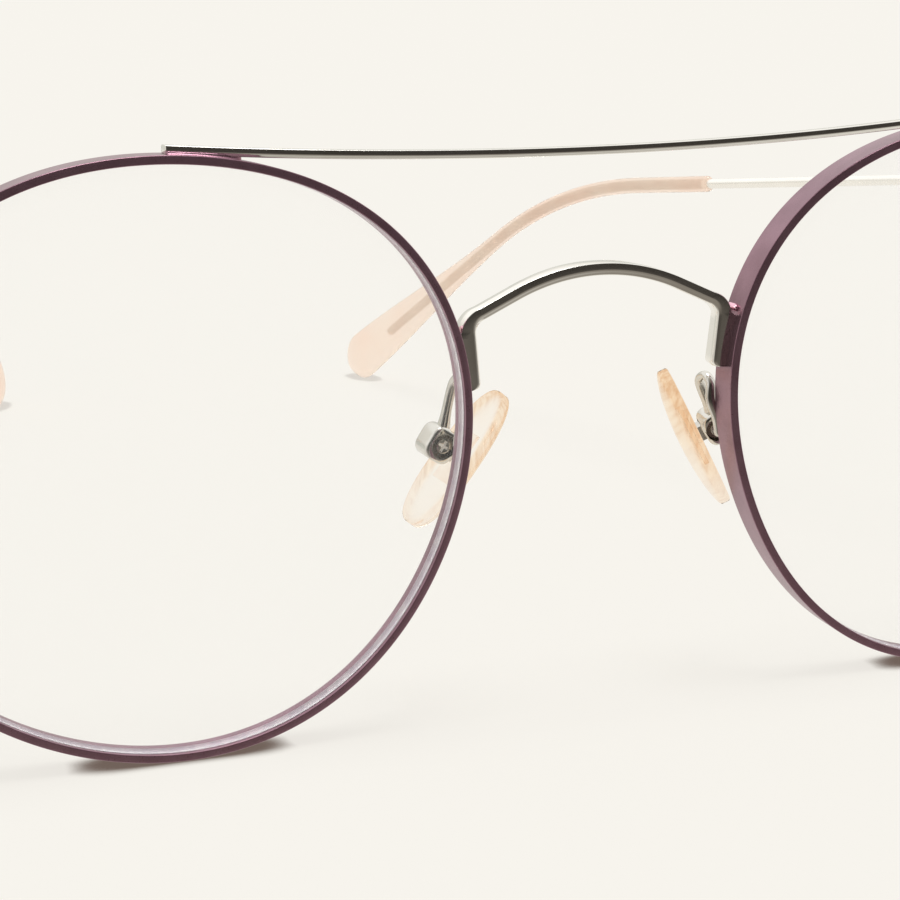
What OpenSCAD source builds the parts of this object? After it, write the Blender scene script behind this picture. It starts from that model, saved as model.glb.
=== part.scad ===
// Round metal eyeglass frame with a second, straight bar above the bridge.
// Millimetres. +Z is up, the front looks along -Y, and the frame stands on z = 0.
// "left" and "right" are the wearer's, so "left" is on the +X side.

/* [Rims] */
// Width of one rim over the wire
rim_w = 51.16; // [46:0.02:54]
// Height of one rim over the wire
rim_h = 48.44; // [42:0.02:52]
// Gap between the two rims where they are widest
rim_gap = 23.04; // [21:0.02:26]
// Width of the wire's front face
rim_face = 0.69; // [0.6:0.01:1.2]
// Front to back depth of the wire
rim_depth = 3.16; // [2.6:0.02:3.6]
// Depth of the wire's inner wall, where the slope of the rear lip starts
rim_inner_depth = 2.26; // [2:0.02:2.5]
// How far the lower half is fuller than the upper half
rim_egg = 0.37; // [0:0.01:0.6]
// How far the outline leans out towards the upper nose side
rim_lean = 0.17; // [0:0.01:0.3]
// How far the diagonals stand out past an ellipse
rim_square = 0.127; // [0:0.001:0.3]
// How far the nose side is drawn in at its middle
rim_nose_flat = 0.144; // [0:0.001:0.3]
// Turn of each rim back from the middle, in degrees
wrap = 0.94; // [0:0.02:4]
// Width of the saw cut that lets a lens in, at the closing blocks
rim_slit = 0.3; // [0.1:0.05:0.6]

/* [Lenses] */
// Radius of the sphere that the lenses and the rims follow
base_radius = 139; // [80:1:250]
// Thickness of the lens at its edge
lens_t = 1.1; // [0.9:0.05:1.3]
// Play between the lens and the lips of the groove
lens_play = 0.03; // [0.02:0.01:0.08]

/* [Top bar] */
// How far each end of the bar stops short of the rim's centre
bar_short = 1.0; // [-1:0.1:4]
// Height of the bar
bar_h = 0.72; // [0.5:0.01:1.2]
// Depth of the bar, front to back
bar_depth = 1.5; // [1.3:0.1:2.8]
// How much lower the bar is at the middle than at its ends
bar_sag = 1.36; // [0:0.02:3]
// How much further forward the bar is at the middle than at its ends
bar_bow = 2.03; // [0:0.01:4]

/* [Bridge] */
// Height of the bridge's crown above the rim centres, to the middle of the strap
bridge_z = 12.76; // [11:0.02:15]
// Radius of the bridge's arch
bridge_r = 17.2; // [15:0.1:20]
// Slope of the arch's straight shoulders, in degrees
bridge_slope = 25; // [20:0.5:30]
// Thickness of the strap
strap_t = 1.04; // [0.6:0.01:1.2]
// Depth of the strap, front to back
strap_depth = 2.0; // [1.5:0.05:2.2]
// How far the strap is set back from the front of the rims
strap_setback = 1.1; // [0.3:0.05:1.2]
// How far the legs' nose sides stand inside the rims' nose sides, at their upper end
leg_inset = 0.84; // [0.5:0.01:1.3]
// Height of the legs' lower ends above the rim centres
leg_foot_z = 3.85; // [2.5:0.05:5]
// Lean of the legs' nose sides, closer together at the foot, in degrees
leg_lean = 5.5; // [0:0.5:8]
// Splay of the legs' nose sides, wider apart at the back, in degrees
leg_splay = 12; // [0:1:20]

/* [Nose pads] */
// Length of a pad
pad_len = 13.4; // [11:0.1:15]
// Width of a pad
pad_w = 6.9; // [5.5:0.1:8]
// Thickness of a pad's body
pad_t = 1.05; // [0.9:0.05:1.4]
// Height of the crown on a pad's nose side
pad_crown = 0.85; // [0.4:0.05:1.2]
// Outward lean of the pads and their boxes, in degrees
pad_flare = 33; // [26:1:38]
// Backward turn of the pads and their boxes, in degrees
pad_splay = 8.5; // [4:0.5:16]
// Turn that was bent into each arm, backward on the left and forward on the right
arm_bend = 8; // [0:0.5:10]
// How far each pad has rocked on its screw: up on the left, down on the right
pad_rock = 5.4; // [-8:0.1:8]
// Size of the box along the pad
box_l = 2.7; // [2.5:0.05:3]
// Size of the box along its screw
box_w = 2.6; // [2.4:0.05:3]
// Gap between a box and its pad
pad_gap = 0.4; // [0.3:0.05:0.8]
// Radius of the pad screw's shank
pad_screw_r = 0.38; // [0.3:0.01:0.45]
// Width of the pad arm's wire
wire_w = 1.0; // [0.7:0.02:1.2]
// Thickness of the pad arm's wire
wire_t = 0.74; // [0.5:0.02:0.9]

/* [Hinges] */
// Height of the hinges above the rim centres
hinge_z = 16.7; // [14:0.1:18]
// How far the hinge axes stand outside the rims
hinge_out = 2.02; // [1.4:0.02:5]
// Distance of the hinge axes behind the front's vertex
hinge_y = 9.5; // [9:0.1:11]
// Radius of the knuckles
knuckle_r = 0.95; // [0.85:0.01:1.1]
// Height of one knuckle
knuckle_h = 1.0; // [0.8:0.05:1.1]
// Play between two knuckles
knuckle_play = 0.05; // [0.03:0.01:0.1]
// Radius of the hinge screw's shank
hinge_screw_r = 0.55; // [0.45:0.01:0.6]
// Height of the endpiece and of the temple where they meet
end_h = 2.4; // [2:0.1:3]
// Thickness of the endpiece and of the temple
arm_t = 1.0; // [0.8:0.05:1.3]

/* [Temples] */
// Length of a temple along its middle line, from the hinge to the tip's end
temple_len = 147.5; // [142:0.5:154]
// Straight length of a temple, from the hinge to the bend
straight_len = 80.8; // [74:0.2:86]
// Radius of the bend behind the ear
bend_r = 60; // [50:1:70]
// Angle of the bend, in degrees
bend_angle = 27; // [22:0.5:32]
// Turn of each temple in from straight back, at rest, in degrees
rest_turn = 17.4; // [8:0.1:20]
// Distance from the hinge to the start of the plastic tip
sleeve_start = 68.8; // [60:0.2:72]
// Distance from the end of the metal core inside the tip to the tip's end
core_gap = 10.5; // [6:0.5:16]
// Diameter of the tip where it starts
sleeve_neck = 1.8; // [1.6:0.05:2.4]
// Height of the tip's paddle
paddle_h = 6.3; // [5:0.1:8]
// Length over which the tip swells to the paddle's height
paddle_taper = 40; // [30:1:44]
// Thickness of the paddle
paddle_t = 2.5; // [2:0.05:3]
// Diameter of the wire inside the tip
core_d = 1.1; // [0.9:0.05:1.2]

/* [Hidden] */
$fn = 48;

// Places across the front that follow from the rims and the gap between them
centre_distance = rim_w + rim_gap;
bar_half = centre_distance / 2 - bar_short;
leg_x = rim_gap / 2 - leg_inset;
hinge_x = centre_distance / 2 + rim_w / 2 + hinge_out;

// Fineness of the rims and lenses, round each ring
ring_steps = 72;

// Finishes, as seen: anodised mauve wire, pale chrome, clear and peach plastic
mauve = "#6b4a52";
chrome = "#b9b6ae";
peach = "#f3cdb0";
clear = [0.85, 0.9, 0.92, 0.35];

// Curvature of the lens surface, as depth over the squared distance from the centre
sag = 1 / (2 * base_radius);
// Lead of the wire's outer wall towards the lens, per millimetre of depth and of radius
wall_lead = 0.0017;
// Break of the wire's sharp edges
edge = 0.1;
// Lips of the groove, and the groove's bottom, measured from the outer wall
front_lip = 0.35;
groove_w = 1.2;
groove_floor = 0.38;
// Overlap of soldered pieces
seat = 0.15;

function rim_r(a) =
  (rim_w + rim_h) / 4 + rim_square + (rim_w - rim_h) / 4 * cos(2 * a)
  + rim_egg * sin(3 * a) + rim_lean * sin(4 * a)
  - rim_square * cos(4 * a) - rim_nose_flat * cos(3 * a);

// Height of the rim centres above the ground: the lowest point of the outline
rim_angles = [for (i = [0 : ring_steps * 5 - 1]) i * 72 / ring_steps];
ground_drop = max([for (a = rim_angles) -rim_r(a) * sin(a)]);
rim_top = max([for (a = rim_angles) rim_r(a) * sin(a)]);

// Angle at which the outline is at height z, on the nose side
function rim_angle(z) = asin(z / rim_r(asin(z / rim_r(asin(z / rim_r(0))))));
function temple_angle(z) = asin(z / rim_r(180 - asin(z / rim_r(180 - asin(z / rim_r(180))))));
function rim_nose_x(z) = centre_distance / 2 - rim_r(rim_angle(z)) * cos(rim_angle(z));

// A point of the ring: a from the nose side, upwards; s inwards from the outer wall; t backwards
function ring_point(a, s, t) =
  let (r = rim_r(a) - s, out = r - wall_lead * r * t)
  [-out * cos(a), sag * r * r + t, out * sin(a)];

function unit(v) = v / norm(v);
function smooth(a, b, x) = let (u = min(max((x - a) / (b - a), 0), 1)) u * u * (3 - 2 * u);

// Skin through rings of equal counts, with flat ends, or joined into a loop
module loft(rings, loop = false) {
  n = len(rings[0]);
  m = len(rings);
  last = loop ? m - 1 : m - 2;
  sides = [for (i = [0 : last], j = [0 : n - 1], h = [0, 1])
    let (k = (i + 1) % m, l = (j + 1) % n)
    h == 0 ? [i * n + j, k * n + j, k * n + l] : [i * n + j, k * n + l, i * n + l]];
  ends = loop ? [] : [[for (j = [0 : n - 1]) j], [for (j = [n - 1 : -1 : 0]) (m - 1) * n + j]];
  polyhedron([for (r = rings) for (p = r) p], concat(sides, ends));
}

// Skin through closed rings that is drawn together to a point at each end
module pod(first, rings, last) {
  n = len(rings[0]);
  m = len(rings);
  sides = [for (i = [0 : m - 2], j = [0 : n - 1], h = [0, 1])
    let (l = (j + 1) % n)
    h == 0 ? [i * n + j, i * n + n + j, i * n + n + l] : [i * n + j, i * n + n + l, i * n + l]];
  start = [for (j = [0 : n - 1]) [m * n, j, (j + 1) % n]];
  finish = [for (j = [0 : n - 1]) [m * n + 1, (m - 1) * n + (j + 1) % n, (m - 1) * n + j]];
  polyhedron(concat([for (r = rings) for (p = r) p], [first, last]), concat(sides, start, finish));
}

// Rectangular section between two points of the XZ plane, from depth y on, with broken edges.
// The back end of its low side is moved by turn.
function strap_ring(low, high, y, depth, c, turn = [0, 0]) =
  let (e = unit(high - low) * c, a = low + e, b = high - e, r = low + turn, q = a + turn)
  [
    [low[0], y + c, low[1]], [r[0], y + depth - c, r[1]], [q[0], y + depth, q[1]],
    [b[0], y + depth, b[1]], [high[0], y + depth - c, high[1]], [high[0], y + c, high[1]],
    [b[0], y, b[1]], [a[0], y, a[1]]
  ];

// Everything is drawn round the point midway between the rim centres, at the front's
// vertex, and then stood on the ground with the origin under the middle of its box.
module stand() {
  translate([0, -(front_y + back_y) / 2, ground_drop]) children();
}

// side is 1 on the wearer's left and -1 on the right
module on_side(side) {
  stand() mirror([side < 0 ? 1 : 0, 0, 0]) children();
}

// Rims
rim_section = [
  [edge, 0], [rim_face - edge / 2, 0], [rim_face, edge / 2], [rim_face, front_lip],
  [groove_floor, front_lip + groove_w / 2], [rim_face, front_lip + groove_w],
  [rim_face, rim_inner_depth], [0.25, rim_depth], [edge, rim_depth], [0, rim_depth - edge],
  [0, edge]
];
split_z = hinge_z - end_h / 2 - 0.1;
split_a = 180 - temple_angle(split_z);
slit_a = rim_slit / rim_r(split_a) * 180 / PI;

module at_rim() {
  translate([centre_distance / 2, 0, 0]) rotate([0, 0, wrap]) children();
}

module rim(side) {
  turn = (360 - slit_a) / ring_steps;
  color(mauve) on_side(side) at_rim() loft([for (i = [0 : ring_steps])
    let (a = split_a + slit_a / 2 + i * turn)
    [for (q = rim_section) ring_point(a, q[0], q[1])]]);
}

// Lenses: a bevel runs in the groove
lens_edge = [
  [rim_face + lens_play, front_lip + groove_w / 2 - lens_t / 2],
  [groove_floor + lens_play * 2.5, front_lip + groove_w / 2],
  [rim_face + lens_play, front_lip + groove_w / 2 + lens_t / 2]
];

module lens(side) {
  front_t = lens_edge[0][1];
  back_t = lens_edge[2][1];
  spans = [0.4, 0.75];
  angles = [for (i = [0 : ring_steps - 1]) i * 360 / ring_steps];
  face = [for (f = spans) [for (a = angles) ring_point(a, rim_r(a) * (1 - f), front_t)]];
  rear = [for (f = [spans[1], spans[0]]) [for (a = angles) ring_point(a, rim_r(a) * (1 - f), back_t)]];
  bevel = [for (q = lens_edge) [for (a = angles) ring_point(a, q[0], q[1])]];
  color(clear) on_side(side) at_rim() pod([0, front_t, 0], concat(face, bevel, rear), [0, back_t, 0]);
}

// Top bar: it lies on both rims and hangs a little lower between them
bar_end_z = rim_top - 0.1;
bar_end_y = sag * pow(rim_r(90), 2) + 1.0;

module top_bar() {
  steps = 32;
  color(chrome) stand() loft([for (i = [0 : steps])
    let (
      x = bar_half * (2 * i / steps - 1), u = pow(x / bar_half, 2),
      z = bar_end_z - bar_sag * (1 - u), y = bar_end_y - bar_bow * (1 - u)
    )
    strap_ring([x, z], [x, z + bar_h], y, bar_depth, 0.12)]);
}
front_y = min(bar_end_y - bar_bow, lens_edge[0][1]);

// Bridge: pairs of points, on the nose side and on the outer side of the strap
rim_nose_y = sag * pow(rim_r(0), 2) - sin(wrap) * rim_r(0);
rim_back = rim_nose_y + rim_depth;
strap_y = rim_nose_y + strap_setback;
arch_end = bridge_r * [sin(bridge_slope), cos(bridge_slope) - 1] + [0, bridge_z];
strap_dir = [cos(bridge_slope), -sin(bridge_slope)];
strap_out = [sin(bridge_slope), cos(bridge_slope)];

// Inner corner: an arc that touches the strap's lower edge and the leg's nose side
corner_r = 1.1;
leg_top = [leg_x, bridge_z - 4.4];
leg_out = [cos(leg_lean), -sin(leg_lean)];
corner_from = arch_end - strap_out * (strap_t / 2 + corner_r);
corner_way = ((leg_top - corner_from) * leg_out - corner_r) / (strap_dir * leg_out);
corner_c = corner_from + strap_dir * corner_way;

function arch_pair(a) =
  let (c = [0, bridge_z - bridge_r], d = [sin(a), cos(a)])
  [c + d * (bridge_r - strap_t / 2), c + d * (bridge_r + strap_t / 2), 0];

// The strap thickens a little as it turns the corner, and its leg is soldered to the rim
corner_swell = 0.5;
function on_rim(z) = [rim_nose_x(z) + seat, z];
function corner_pair(k) =
  let (a = bridge_slope + (90 + leg_lean - bridge_slope) * k, d = [sin(a), cos(a)])
  [corner_c + corner_r * d, corner_c + (corner_r + strap_t + corner_swell * k) * d, k];
function leg_pair(z, lift) = [
  [leg_top[0] + (z - leg_top[1]) * tan(leg_lean) + lift, z], on_rim(z - 0.2 * lift),
  1 - 0.25 * (leg_start - z) / (leg_start - leg_foot_z)
];

leg_start = corner_c[1] - corner_r * sin(leg_lean);
leg_round = 0.5;
bridge_half = concat(
  [for (i = [0 : 7]) arch_pair(bridge_slope * i / 7)],
  [for (k = [0, 0.25, 0.5, 0.75, 0.9]) corner_pair(k)],
  [[corner_pair(1)[0], on_rim(leg_start - 0.15), 1]],
  [for (i = [1 : 3]) leg_pair(leg_start + (leg_foot_z + leg_round - leg_start) * i / 3, 0)],
  [for (a = [30, 60, 90]) leg_pair(leg_foot_z + leg_round * (1 - sin(a)), leg_round * (1 - cos(a)))]
);

module bridge() {
  n = len(bridge_half);
  flip = [[-1, 0], [0, 1]];
  pairs = concat(
    [for (i = [n - 1 : -1 : 1]) [flip * bridge_half[i][0], flip * bridge_half[i][1], -bridge_half[i][2]]],
    bridge_half
  );
  turn = strap_depth * tan(leg_splay);
  color(chrome) stand() loft([for (q = pairs)
    strap_ring(q[0], q[1], strap_y, strap_depth, 0.15, [q[2] * turn, 0])]);
}

// Closing blocks: the saw cut of the rim lies between them, and a screw draws them together
block_overlap = 1.5;
block_x = centre_distance / 2 + rim_w / 2 - block_overlap;
block_y = sag * pow(rim_r(split_a), 2) + 0.65;
block_depth = 2.4;
block_gap = 0.2;
lower_h = 2.2;
rim_screw_r = 0.5;
rim_head_r = 0.8;
rim_head_h = 0.5;
rim_screw_x = block_x - 1.15;
rim_screw_y = block_y + block_depth / 2;

module rim_outline() {
  polygon([for (i = [0 : ring_steps - 1])
    let (a = i * 360 / ring_steps, r = rim_r(a) - seat)
    [centre_distance / 2 - r * cos(a), r * sin(a)]]);
}

module block(low, high) {
  translate([0, block_y + block_depth, 0]) rotate([90, 0, 0]) linear_extrude(block_depth)
    difference() {
      translate([centre_distance / 2, low]) square([block_x - centre_distance / 2, high - low]);
      rim_outline();
    }
}

module upper_block(side) {
  low = split_z + block_gap / 2;
  color(mauve) on_side(side) difference() {
    block(low, hinge_z + end_h / 2);
    translate([rim_screw_x, rim_screw_y, low - 1]) cylinder(r = rim_screw_r + 0.01, h = 2.8);
  }
}

module lower_block(side) {
  high = split_z - block_gap / 2;
  color(mauve) on_side(side) difference() {
    block(high - lower_h, high);
    translate([rim_screw_x, rim_screw_y, high - lower_h - 1]) cylinder(r = rim_screw_r + 0.04, h = 4);
    translate([rim_screw_x, rim_screw_y, high - lower_h - 1])
      cylinder(r = rim_head_r + 0.05, h = 1 + rim_head_h + 0.05);
  }
}

module rim_screw(side) {
  foot = split_z - block_gap / 2 - lower_h;
  color(chrome) on_side(side) translate([rim_screw_x, rim_screw_y, foot]) difference() {
    union() {
      translate([0, 0, 0.05]) cylinder(r = rim_head_r, h = rim_head_h);
      cylinder(r = rim_screw_r, h = lower_h + block_gap + 1.6);
    }
    translate([-rim_head_r, -0.12, -1]) cube([2 * rim_head_r, 0.24, 1.3]);
  }
}

// Endpiece: from the upper block outwards, and round the corner to the hinge
arm_in = knuckle_r + 0.1;
end_bend = 2.0;
end_x = hinge_x + arm_in + arm_t;

module endpiece(side) {
  c = [end_x - end_bend, block_y + end_bend];
  color(mauve) on_side(side) translate([0, 0, hinge_z - end_h / 2]) linear_extrude(end_h) {
    translate([block_x, block_y]) square([c[0] - block_x, arm_t]);
    intersection() {
      translate(c) difference() {
        circle(end_bend);
        circle(end_bend - arm_t);
      }
      translate([c[0], block_y]) square(end_bend);
    }
    translate([end_x - arm_t, c[1]]) square([arm_t, hinge_y + 0.3 - c[1]]);
  }
}

// Hinges: two knuckles on the front, one on the temple, and a screw as their pin
leaf_in = 0.25;
leaf_start = 1.1;
leaf_end = 3.6;
barrel_h = 3 * knuckle_h + 2 * knuckle_play;
hinge_head_r = 0.95;
hinge_head_h = 0.4;

module knuckle(h, reach) {
  cylinder(r = knuckle_r, h = h);
  translate([leaf_in, min(reach, 0), 0]) cube([arm_in - leaf_in, abs(reach), h]);
}

module at_hinge(side) {
  on_side(side) translate([hinge_x, hinge_y, hinge_z]) children();
}

module front_hinge(side) {
  color(chrome) at_hinge(side) difference() {
    union() {
      translate([0, 0, -barrel_h / 2]) knuckle(knuckle_h, -leaf_start);
      translate([0, 0, barrel_h / 2 - knuckle_h]) knuckle(knuckle_h, -leaf_start);
      translate([leaf_in, -leaf_end, -barrel_h / 2])
        cube([arm_in - leaf_in, leaf_end - leaf_start, barrel_h]);
    }
    translate([0, 0, -barrel_h]) cylinder(r = hinge_screw_r + 0.01, h = 2 * barrel_h);
  }
}

module temple_hinge(side) {
  color(chrome) at_hinge(side) rotate([0, 0, rest_turn]) difference() {
    union() {
      translate([0, 0, -knuckle_h / 2]) knuckle(knuckle_h, leaf_start);
      translate([leaf_in, leaf_start, -barrel_h / 2 + 0.5])
        cube([arm_in - leaf_in, leaf_end - leaf_start, barrel_h - 1]);
    }
    translate([0, 0, -barrel_h]) cylinder(r = hinge_screw_r + 0.05, h = 2 * barrel_h);
  }
}

module hinge_screw(side) {
  color(chrome) at_hinge(side) difference() {
    union() {
      translate([0, 0, -barrel_h / 2]) cylinder(r = hinge_screw_r, h = barrel_h);
      translate([0, 0, barrel_h / 2]) cylinder(r = hinge_head_r, h = hinge_head_h);
    }
    translate([-1, -0.12, barrel_h / 2 + 0.18]) cube([2, 0.24, 1]);
  }
}

// Temples. In its own frame the middle line runs back along +Y, straight, then bends down.
bend_len = bend_r * bend_angle * PI / 180;
tail_len = temple_len - straight_len - bend_len;
core_end = temple_len - core_gap;
paddle_r = paddle_h / 2;

function dip(s) = bend_angle * min(max((s - straight_len) / bend_len, 0), 1);
function line_point(s) =
  let (d = dip(s), tail = max(s - straight_len - bend_len, 0))
  [
    min(s, straight_len) + bend_r * sin(d) + tail * cos(d),
    -bend_r * (1 - cos(d)) - tail * sin(d)
  ];

// Slope of the straight part: the tips stand on the ground that the rims stand on
tip_centre = line_point(temple_len - paddle_r);
slope = asin((hinge_z + ground_drop - paddle_r) / norm(tip_centre))
  - atan2(-tip_centre[1], tip_centre[0]);

// A point at distance s along the temple, u outwards and v up across it, at rest
function temple_point(s, u, v) =
  let (
    q = line_point(s), g = slope + dip(s),
    y = q[0] * cos(slope) + q[1] * sin(slope) + v * sin(g),
    z = -q[0] * sin(slope) + q[1] * cos(slope) + v * cos(g)
  )
  [arm_in + arm_t / 2 + u, y, z];

// Octagonal section of half sizes a and b, with corners cut by the share c
function temple_ring(s, a, b, c) = [for (q = [
  [1 - c, 1], [1, 1 - c], [1, c - 1], [1 - c, -1], [c - 1, -1], [-1, c - 1], [-1, 1 - c], [c - 1, 1]
]) temple_point(s, q[0] * a, q[1] * b)];

arm_start = 0.25;
thin_at = 40;
function arm_half_h(s) = end_h / 2 + (core_d / 2 - end_h / 2) * smooth(arm_start, thin_at, s);
function arm_half_t(s) = arm_t / 2 + (core_d / 2 - arm_t / 2) * smooth(arm_start, thin_at, s);
bend_stations = [for (i = [0 : 5]) straight_len + bend_len * i / 5];
arm_stations = concat([arm_start, 6, 12, 18, 24, 30, thin_at, sleeve_start], bend_stations);

module temple(side) {
  color(chrome) at_hinge(side) rotate([0, 0, rest_turn])
    loft([for (s = concat(arm_stations, [core_end]))
      temple_ring(s, arm_half_t(s), arm_half_h(s), 0.12 + 0.46 * smooth(arm_start, thin_at, s))]);
}

// Tips: a slim sleeve that swells into a paddle with a round end
sleeve_len = temple_len - sleeve_start;
function round_end(s) =
  let (u = max((s - temple_len + paddle_r) / paddle_r, 0)) sqrt(max(1 - u * u, 0.0001));
function tip_half_h(s) = round_end(s) * (sleeve_neck / 2
  + (paddle_r - sleeve_neck / 2) * smooth(temple_len - paddle_taper, temple_len, s));
function tip_half_t(s) =
  let (u = (s - sleeve_start) / sleeve_len)
  sqrt(round_end(s)) * (sleeve_neck / 2 + (paddle_t - sleeve_neck) / 2 * smooth(0.4, 0.95, u));
tip_stations = concat(
  [sleeve_start, sleeve_start + 5],
  [for (i = [0 : 6]) straight_len + bend_len * i / 6],
  [for (i = [1 : 6]) straight_len + bend_len + (tail_len - paddle_r) * i / 6],
  [for (a = [25, 45, 62, 75, 84]) temple_len - paddle_r * (1 - sin(a))]
);
tip_sides = 14;
core_play = 0.03;

module temple_tip(side) {
  color(peach) at_hinge(side) rotate([0, 0, rest_turn]) difference() {
    loft([for (s = tip_stations) [for (i = [0 : tip_sides - 1])
      let (a = 90 - i * 360 / tip_sides)
      temple_point(s, tip_half_t(s) * cos(a), tip_half_h(s) * sin(a))]]);
    loft([for (s = concat([sleeve_start - 1], bend_stations, [core_end + 0.1]))
      temple_ring(s, core_d / 2 + core_play, core_d / 2 + core_play, 0.58)]);
  }
}

function tip_back(a) = hinge_y
  + (arm_in + arm_t / 2) * sin(a)
  + cos(a) * (tip_centre[0] * cos(slope) + tip_centre[1] * sin(slope) + paddle_r);
back_y = tip_back(rest_turn);

// Nose pads. The box's own frame: X away from the nose, Y back along the screw, Z up the pad.
// Its origin lies on the screw.
pad_pivot = [rim_gap / 2 + 1.17, rim_back + 3.365, -2.21];
pivot_shift = [0.61, -0.295, -0.17];
box_in = 1.2;
box_out = 1.3;
box_r = 0.5;
slot_w = 1.3;
slot_floor = 0.8;
tab_r = 0.7;
slot_half = tab_r + 0.32;
tab_w = 1.2;
pad_x = -(box_in + pad_gap + pad_t / 2);
recess_r = 1.0;
recess_depth = 0.4;
pad_head_r = 0.62;
head_back = -box_w / 2 + recess_depth;

function pivot(side) = pad_pivot + side * pivot_shift;
function splay(side) = pad_splay + side * arm_bend;

module at_box(side) {
  stand() mirror([side < 0 ? 1 : 0, 0, 0]) translate(pivot(side))
    rotate([0, -pad_flare, 0]) rotate([0, 0, -splay(side)]) children();
}

module at_pad(side) {
  at_box(side) rotate([0, side * pad_rock, 0]) children();
}

module along_y(r, from, to) {
  translate([0, to, 0]) rotate([90, 0, 0]) cylinder(r = r, h = to - from);
}

module pad_box(side) {
  half = box_l / 2;
  color(chrome) at_box(side) difference() {
    translate([0, box_w / 2, 0]) rotate([90, 0, 0]) linear_extrude(box_w) {
      translate([-box_in + box_r, -half]) square([box_in + box_out - 2 * box_r, 2 * half]);
      translate([-box_in, -half + box_r]) square([box_in + box_out, 2 * (half - box_r)]);
      for (x = [-box_in + box_r, box_out - box_r], z = [-half + box_r, half - box_r])
        translate([x, z]) circle(box_r);
    }
    translate([-box_in - 1, -slot_w / 2, -slot_half])
      cube([box_in + slot_floor + 1, slot_w, 2 * slot_half]);
    along_y(pad_screw_r + 0.02, -box_w, box_w);
    along_y(recess_r, -box_w, head_back);
  }
}

module pad_screw(side) {
  head = -box_w / 2 + 0.1;
  color(chrome) at_box(side) difference() {
    union() {
      along_y(pad_head_r, head, head_back);
      along_y(pad_screw_r, head + 0.1, box_w / 2 - 0.05);
    }
    for (turn = [0, 90]) rotate([0, turn, 0])
      translate([-0.09, head - 1, -pad_head_r * 0.75]) cube([0.18, 1.14, pad_head_r * 1.5]);
  }
}

// Insert: a tab with an eye for the screw, on a plate that is moulded into the pad
plate = [0.4, 2.8, 4.8];

module pad_insert(side) {
  color(chrome) at_pad(side) difference() {
    union() {
      along_y(tab_r, -tab_w / 2, tab_w / 2);
      translate([pad_x, -tab_w / 2, -tab_r]) cube([-pad_x, tab_w, 2 * tab_r]);
      translate([pad_x, 0, 0] - plate / 2) cube(plate);
    }
    along_y(pad_screw_r + 0.04, -box_w, box_w);
  }
}

// Pad: an egg-shaped disc, flat behind, crowned towards the nose
pad_sides = 32;
pad_egg = 0.07;
pad_low = 0.15;
function pad_loop(x, share) = [for (i = [0 : pad_sides - 1])
  let (a = -i * 360 / pad_sides, k = 1 / pow(pow(abs(cos(a)), 2.45) + pow(abs(sin(a)), 2.45), 1 / 2.45))
  [x, share * k * pad_w / 2 * cos(a) * (1 - pad_egg * sin(a)), share * k * pad_len / 2 * sin(a) - pad_low]];

module nose_pad(side) {
  back = pad_x + pad_t / 2;
  front = pad_x - pad_t / 2;
  play = [0.05, 0.05, 0.05];
  color(peach) at_pad(side) difference() {
    pod([back, 0, -pad_low], [
      pad_loop(back, 0.94), pad_loop(back - 0.2, 1), pad_loop(front + 0.2, 1),
      pad_loop(front - pad_crown * 0.25, 0.92), pad_loop(front - pad_crown * 0.6, 0.75),
      pad_loop(front - pad_crown * 0.85, 0.5)
    ], [front - pad_crown, 0, -pad_low]);
    translate([pad_x, 0, 0] - plate / 2 - play) cube(plate + 2 * play);
    translate([pad_x, -tab_w / 2 - 0.05, -tab_r - 0.05]) cube([pad_t, tab_w + 0.1, 2 * tab_r + 0.1]);
  }
}

// Pad arm: a wire from the back of the rim, up, over and down into the top of the box
arm_y = rim_back + wire_t / 2 - 0.1;
// The two arms were soldered and bent by hand, so each has its own seat, foot and crest
function arm_seat(side) = 0.1 + 0.3 * side;
function arm_back(side) = arm_y - 0.06 + 0.06 * side;
function arm_foot(side) = -2.3 - 0.5 * side;
function arm_crest(side) = [pivot(side)[0] - 1.8, 3.15 - 0.75 * side];
function turned(v, flare, back) =
  let (x = v[0] * cos(back) + v[1] * sin(back), y = -v[0] * sin(back) + v[1] * cos(back))
  [x * cos(flare) - v[2] * sin(flare), y, x * sin(flare) + v[2] * cos(flare)];
function box_point(side, v) = pivot(side) + turned(v, pad_flare, splay(side));
function arm_route(side) =
  let (seat = arm_seat(side), back = arm_back(side), foot = arm_foot(side), crest = arm_crest(side))
  [
    [rim_nose_x(foot) + seat, back, foot],
    [rim_nose_x(foot + 1.6) + seat - 0.05, back, foot + 1.6],
    [rim_nose_x(foot + 3.2) + seat - 0.5, back + 0.1, foot + 3.2],
    [crest[0] + 0.1, arm_y + 0.4, crest[1] - 0.6],
    [crest[0], arm_y + 1.25, crest[1]],
    [crest[0] + 0.15, pivot(side)[1] - 0.2, crest[1] - 0.9],
    box_point(side, [0.3, 0, box_l / 2 - 0.15])
  ];

function blend(p, q, r, s, t) = 0.5 * (2 * q + (r - p) * t
  + (2 * p - 5 * q + 4 * r - s) * t * t + (3 * q - p - 3 * r + s) * t * t * t);
function route_point(route, u) =
  let (n = len(route) - 1, i = min(floor(u), n - 1), t = u - i)
  blend(route[max(i - 1, 0)], route[i], route[i + 1], route[min(i + 2, n)], t);

module pad_arm(side) {
  route = arm_route(side);
  span = len(route) - 1;
  steps = 3 * span;
  color(chrome) stand() mirror([side < 0 ? 1 : 0, 0, 0]) loft([for (i = [0 : steps])
    let (
      u = span * i / steps, p = route_point(route, u),
      t = unit(route_point(route, min(u + 0.05, span)) - route_point(route, max(u - 0.05, 0))),
      e = unit([1, 0, 0] - t[0] * t), f = cross(t, e)
    )
    [for (k = [0 : 9]) p + wire_w / 2 * cos(36 * k) * e + wire_t / 2 * sin(36 * k) * f]]);
}

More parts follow.
